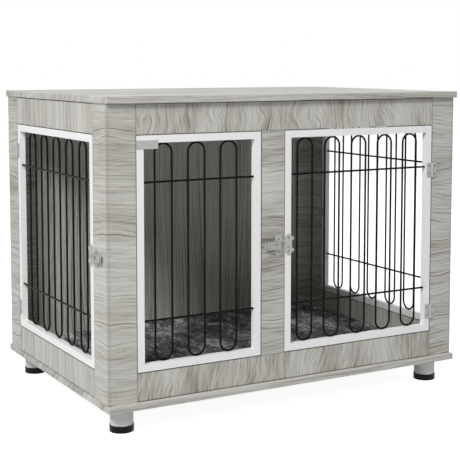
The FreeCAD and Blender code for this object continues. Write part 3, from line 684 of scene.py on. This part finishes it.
@dataclass
class WireGrille:
    """Round bent wires in a frame: upright loops, and two cross rods in front of them."""

    node: str
    wall: Wall
    loops: int
    end_gap: float
    shift: float = 0.0
    wire_radius: float = 0.002
    loop_width: float = 0.035
    rod_drop: float = 0.072
    rod_rise: float = 0.079
    bend_steps: int = 20
    wire_sides: int = 14
    smooth_angle: float = 50.0
    merge_share: float = 0.02

    def local_box(self) -> tuple[Vector, Vector]:
        """The grille's box, turned back into the front wall's plane.

        Returns:
            The lowest and the highest corner.
        """
        low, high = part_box(self.node)
        back = Matrix.Rotation(-math.radians(self.wall.value), 3, "Z")
        corners = [back @ low, back @ high]
        return (Vector(map(min, *corners)), Vector(map(max, *corners)))

    def loop(self, low: float, high: float, depth: float) -> bpy.types.Object:
        """Bend one loop, centred on X = 0, from a wire section swept by hand.

        Args:
            low: The lowest level of the wire.
            high: The highest level of the wire.
            depth: The middle of the wire's thickness.

        Returns:
            The loop.
        """
        bend = self.loop_width / 2
        lower = low + self.wire_radius + bend
        upper = high - self.wire_radius - bend
        deselect()
        bpy.ops.mesh.primitive_circle_add(vertices=self.wire_sides, radius=self.wire_radius,
                                          location=(-bend, depth, lower), fill_type="NOTHING")
        wire = bpy.context.object
        settle(wire)
        bpy.ops.object.mode_set(mode="EDIT")
        bpy.ops.mesh.select_all(action="SELECT")
        bpy.ops.mesh.extrude_edges_move(TRANSFORM_OT_translate={"value": (0, 0, upper - lower)})
        bpy.ops.mesh.spin(steps=self.bend_steps, angle=math.pi, center=(0, depth, upper),
                          axis=(0, -1, 0))
        bpy.ops.mesh.extrude_edges_move(TRANSFORM_OT_translate={"value": (0, 0, lower - upper)})
        bpy.ops.mesh.spin(steps=self.bend_steps, angle=math.pi, center=(0, depth, lower),
                          axis=(0, -1, 0))
        bpy.ops.mesh.select_all(action="SELECT")
        bpy.ops.mesh.remove_doubles(threshold=self.wire_radius * self.merge_share)
        bpy.ops.mesh.normals_make_consistent(inside=False)
        bpy.ops.object.mode_set(mode="OBJECT")
        return wire

    def rod(self, left: float, right: float, level: float, depth: float) -> bpy.types.Object:
        """Lay one cross rod.

        Args:
            left: Where it starts.
            right: Where it ends.
            level: Its height.
            depth: The middle of its thickness.

        Returns:
            The rod.
        """
        deselect()
        bpy.ops.mesh.primitive_cylinder_add(
            vertices=self.wire_sides, radius=self.wire_radius, depth=right - left,
            location=((left + right) / 2, depth, level), rotation=(0, math.pi / 2, 0))
        rod = bpy.context.object
        settle(rod)
        return rod

    def build(self, finish: bpy.types.Material, body: str) -> None:
        """Make the grille, put it in its wall and let it stand for the solid one.

        Args:
            finish: The wire coat.
            body: The body that it moves with.
        """
        low, high = self.local_box()
        rod_depth = low.y + self.wire_radius
        loop_depth = rod_depth + 2 * self.wire_radius
        middle = (low.x + high.x) / 2 + self.shift
        pitch = (high.x - low.x - 2 * self.end_gap - self.loop_width) / (self.loops - 1)
        first = self.loop(low.z, high.z, loop_depth)
        wires = [first]
        for step in range(1, self.loops):
            copy = first.copy()
            copy.data = first.data.copy()
            bpy.context.scene.collection.objects.link(copy)
            wires.append(copy)
        for step, wire in enumerate(wires):
            wire.location.x = middle + (step - (self.loops - 1) / 2) * pitch
        for level in (low.z + self.rod_rise, high.z - self.rod_drop):
            wires.append(self.rod(low.x, high.x, level, rod_depth))
        deselect()
        for wire in wires:
            wire.select_set(True)
        bpy.context.view_layer.objects.active = first
        bpy.ops.object.transform_apply(location=True, rotation=True, scale=True)
        bpy.ops.object.join()
        grille = bpy.context.object
        grille.name = self.node + "_wires"
        grille.rotation_euler.z = math.radians(self.wall.value)
        settle(grille)
        smooth(grille, self.smooth_angle)
        dress(grille, finish)
        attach(grille, body)
        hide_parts(self.node)
        LOG.info("%s: %d loops and two rods", grille.name, self.loops)


# ---------------------------------------------------------------- mat


@dataclass
class FloorMat:
    """A plush mat, filled fuller in a roll round its edge than in the middle."""

    node: str = "floor_mat"
    voxel: float = 0.008
    rim: float = 0.052
    seam_width: float = 0.007
    seam_sink: float = 0.35
    start_gap: float = 0.010
    start_height: float = 0.016
    corner: float = 0.03
    pressure: float = 2.4
    swell: float = 0.012
    steps: int = 20
    tuft_size: float = 0.011
    tuft_height: float = 0.007
    lift: float = 0.001
    floor_gap: float = 0.0002
    corner_steps: int = 6
    stitch_hold: float = 1.6
    cloth_quality: int = 5
    evening: float = 0.5
    evening_rounds: int = 3
    smooth_angle: float = 180.0

    def blank(self) -> bpy.types.Object:
        """Cut the mat's flat case: a round-cornered slab a little smaller than its space.

        Returns:
            The slab, remeshed evenly.
        """
        low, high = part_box(self.node)
        centre = (low + high) / 2
        deselect()
        bpy.ops.mesh.primitive_plane_add(size=1.0, location=(centre.x, centre.y, low.z + self.lift))
        slab = bpy.context.object
        slab.scale = (high.x - low.x - 2 * self.start_gap, high.y - low.y - 2 * self.start_gap, 1.0)
        settle(slab)
        bpy.ops.object.mode_set(mode="EDIT")
        bpy.ops.mesh.select_all(action="SELECT")
        bpy.ops.mesh.bevel(offset=self.corner, segments=self.corner_steps, affect="VERTICES")
        bpy.ops.mesh.select_all(action="SELECT")
        rise = (0, 0, self.start_height)
        bpy.ops.mesh.extrude_region_move(TRANSFORM_OT_translate={"value": rise})
        bpy.ops.mesh.select_all(action="SELECT")
        bpy.ops.mesh.normals_make_consistent(inside=False)
        bpy.ops.object.mode_set(mode="OBJECT")
        remesh = slab.modifiers.new("even", "REMESH")
        remesh.mode = "VOXEL"
        remesh.voxel_size = self.voxel
        apply_modifiers(slab)
        return slab

    def seam_share(self, place: Vector, low: Vector, high: Vector) -> float:
        """How firmly the rim's seam holds a point: 1 on the seam and 0 away from it.

        Args:
            place: The point.
            low: The slab's lowest corner.
            high: The slab's highest corner.

        Returns:
            The share.
        """
        inset = min(place.x - low.x, high.x - place.x, place.y - low.y, high.y - place.y)
        return max(0.0, 1.0 - abs(inset - self.rim) / (2 * self.seam_width))

    def sew(self, slab: bpy.types.Object) -> bpy.types.VertexGroup:
        """Draw the seam's stitches down and mark what they hold.

        Args:
            slab: The mat's slab.

        Returns:
            The group of held points.
        """
        corners = [Vector(corner) for corner in slab.bound_box]
        low = Vector(map(min, *corners))
        high = Vector(map(max, *corners))
        held = slab.vertex_groups.new(name="stitches")
        for vertex in slab.data.vertices:
            share = self.seam_share(vertex.co, low, high)
            if share > 0.0:
                level = low.z + (vertex.co.z - low.z) * self.seam_sink
                vertex.co.z += (level - vertex.co.z) * share
                held.add([vertex.index], min(1.0, share * self.stitch_hold), "REPLACE")
        return held

    def fill(self, slab: bpy.types.Object, held: bpy.types.VertexGroup) -> None:
        """Blow the case up gently with a cloth run, capped in how far it may swell.

        Args:
            slab: The sewn slab.
            held: The stitches.
        """
        start = [vertex.co.copy() for vertex in slab.data.vertices]
        cloth = slab.modifiers.new("filling", "CLOTH")
        cloth.settings.use_pressure = True
        cloth.settings.uniform_pressure_force = self.pressure
        cloth.settings.vertex_group_mass = held.name
        cloth.settings.effector_weights.gravity = 0.0
        cloth.settings.quality = self.cloth_quality
        scene = bpy.context.scene
        for frame in range(1, self.steps + 1):
            scene.frame_set(frame)
        apply_modifiers(slab)
        for vertex, before in zip(slab.data.vertices, start):
            step = vertex.co - before
            if step.length > self.swell:
                vertex.co = before + step.normalized() * self.swell

    def raise_pile(self, mat: bpy.types.Object) -> None:
        """Raise the plush in small uneven tufts."""
        clouds = bpy.data.textures.new("tufts", "CLOUDS")
        clouds.noise_scale = self.tuft_size
        clouds.noise_depth = 1
        pile = mat.modifiers.new("pile", "DISPLACE")
        pile.texture = clouds
        pile.texture_coords = "LOCAL"
        pile.strength = self.tuft_height
        apply_modifiers(mat)

    def settle_in(self, mat: bpy.types.Object) -> None:
        """Keep the mat on its floor and inside the space that its solid holds."""
        low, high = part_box(self.node)
        for vertex in mat.data.vertices:
            vertex.co.z = max(vertex.co.z, low.z + self.floor_gap)
            vertex.co.x = min(max(vertex.co.x, low.x), high.x)
            vertex.co.y = min(max(vertex.co.y, low.y), high.y)

    def build(self, finish: bpy.types.Material, body: str) -> None:
        """Make the mat and let it stand for the solid one.

        Args:
            finish: The plush.
            body: The body that it rests in.
        """
        mat = self.blank()
        held = self.sew(mat)
        self.fill(mat, held)
        mat.vertex_groups.clear()
        even = mat.modifiers.new("even", "SMOOTH")
        even.factor = self.evening
        even.iterations = self.evening_rounds
        finer = mat.modifiers.new("finer", "SUBSURF")
        finer.levels = finer.render_levels = 1
        apply_modifiers(mat)
        self.raise_pile(mat)
        self.settle_in(mat)
        mat.name = "plush_mat"
        smooth(mat, self.smooth_angle)
        dress(mat, finish)
        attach(mat, body)
        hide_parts(self.node)
        LOG.info("%s: %d points", mat.name, len(mat.data.vertices))


# ---------------------------------------------------------------- studio


@dataclass(frozen=True)
class SoftLamp:
    """A square soft lamp: its side in metres and its power in watts."""

    name: str
    place: tuple[float, float, float]
    size: float
    power: float

    def hang(self, target: Vector) -> None:
        """Hang the lamp so that it faces a point."""
        data = bpy.data.lights.new(self.name, "AREA")
        data.size = self.size
        data.energy = self.power
        lamp = bpy.data.objects.new(self.name, data)
        bpy.context.scene.collection.objects.link(lamp)
        place = Vector(self.place)
        lamp.location = place
        lamp.rotation_euler = (target - place).to_track_quat("-Z", "Y").to_euler()


@dataclass
class Studio:
    """A pale floor, soft lamps, and a camera where the photographer's stood."""

    floor_size: float = 12.0
    floor_level: float = -0.0005
    camera_place: tuple[float, float, float] = (-1.1974, -2.1222, 0.6785)
    camera_yaw: float = 29.549
    camera_pitch: float = 4.924
    lens: float = 88.896
    sensor: float = 36.0
    far: float = 50.0
    shift: float = -0.15
    sky: float = 0.23
    floor_colour: RGB = (0.6, 0.6, 0.6)
    floor_glow: float = 0.9
    lamp_target: tuple[float, float, float] = (0.0, 0.0, 0.3)
    key: SoftLamp = SoftLamp("key", (-3.4, -2.75, 4.1), 1.8, 308.0)
    fill: SoftLamp = SoftLamp("fill", (3.4, 1.6, 2.4), 2.4, 40.0)

    def floor(self) -> None:
        """Lay the floor, which shows as plain white and keeps the table's shadow."""
        deselect()
        bpy.ops.mesh.primitive_plane_add(size=self.floor_size, location=(0, 0, self.floor_level))
        floor = bpy.context.object
        floor.name = "studio_floor"
        sheet = ShaderSheet("studio_floor")
        sheet.feed(self.floor_colour, sheet.shader.inputs["Base Color"])
        sheet.gloss(1.0, 0.0)
        sheet.feed(WHITE, sheet.shader.inputs["Emission Color"])
        path = sheet.add("LightPath")
        looked_at = sheet.math("MAXIMUM", path.outputs["Is Camera Ray"],
                               sheet.math("MAXIMUM", path.outputs["Is Glossy Ray"],
                                          path.outputs["Is Transmission Ray"]))
        sheet.join(sheet.math("MULTIPLY", looked_at, self.floor_glow),
                   sheet.shader.inputs["Emission Strength"])
        dress(floor, sheet.material)

    def world(self) -> None:
        """A soft grey surround for the light, which the camera and glossy metal see as white."""
        world = bpy.data.worlds.new("studio")
        bpy.context.scene.world = world
        world.use_nodes = True
        tree = world.node_tree
        background = tree.nodes["Background"]
        path = tree.nodes.new("ShaderNodeLightPath")
        seen, mirrored = (tree.nodes.new("ShaderNodeMath") for _ in range(2))
        seen.operation = mirrored.operation = "MAXIMUM"
        tree.links.new(path.outputs["Is Glossy Ray"], mirrored.inputs[0])
        tree.links.new(path.outputs["Is Transmission Ray"], mirrored.inputs[1])
        tree.links.new(path.outputs["Is Camera Ray"], seen.inputs[0])
        tree.links.new(mirrored.outputs[0], seen.inputs[1])
        strength = tree.nodes.new("ShaderNodeMapRange")
        strength.inputs["To Min"].default_value = self.sky
        strength.inputs["To Max"].default_value = 1.0
        tree.links.new(seen.outputs[0], strength.inputs["Value"])
        tree.links.new(strength.outputs["Result"], background.inputs["Strength"])
        background.inputs["Color"].default_value = (*WHITE, 1.0)

    def camera(self) -> None:
        """Set the camera at the photograph's viewpoint."""
        data = bpy.data.cameras.new("photograph")
        data.lens = self.lens
        data.sensor_width = self.sensor
        data.shift_y = self.shift
        data.clip_end = self.far
        camera = bpy.data.objects.new("photograph", data)
        bpy.context.scene.collection.objects.link(camera)
        camera.location = self.camera_place
        camera.rotation_euler = (math.radians(90.0 - self.camera_pitch), 0.0,
                                 -math.radians(self.camera_yaw))
        bpy.context.scene.camera = camera

    def build(self) -> None:
        """Set up the floor, the light and the camera."""
        self.floor()
        self.world()
        for lamp in (self.key, self.fill):
            lamp.hang(Vector(self.lamp_target))
        self.camera()
        bpy.context.scene.view_settings.view_transform = "Standard"
        LOG.info("studio ready")


def main() -> None:
    """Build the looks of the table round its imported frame."""
    logging.basicConfig(level=logging.INFO, format="%(name)s: %(message)s")
    bpy.ops.wm.read_factory_settings(use_empty=True)
    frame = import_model()
    finishes = Finishes()
    Cabinet(frame["nodes"], finishes).dress()
    grilles = {
        "cabinet": (
            WireGrille("front_window_grille", Wall.FRONT, loops=3, end_gap=0.0306, shift=-0.0045),
            WireGrille("right_window_grille", Wall.RIGHT, loops=5, end_gap=0.0365),
        ),
        "front_door": (WireGrille("front_door_grille", Wall.FRONT, loops=5, end_gap=0.0198),),
        "side_door": (WireGrille("side_door_grille", Wall.LEFT, loops=5, end_gap=0.0365),),
    }
    for body, made in grilles.items():
        for grille in made:
            grille.build(finishes.wire, body)
    FloorMat().build(finishes.plush, "cabinet")
    Studio().build()


if __name__ == "__main__":
    main()
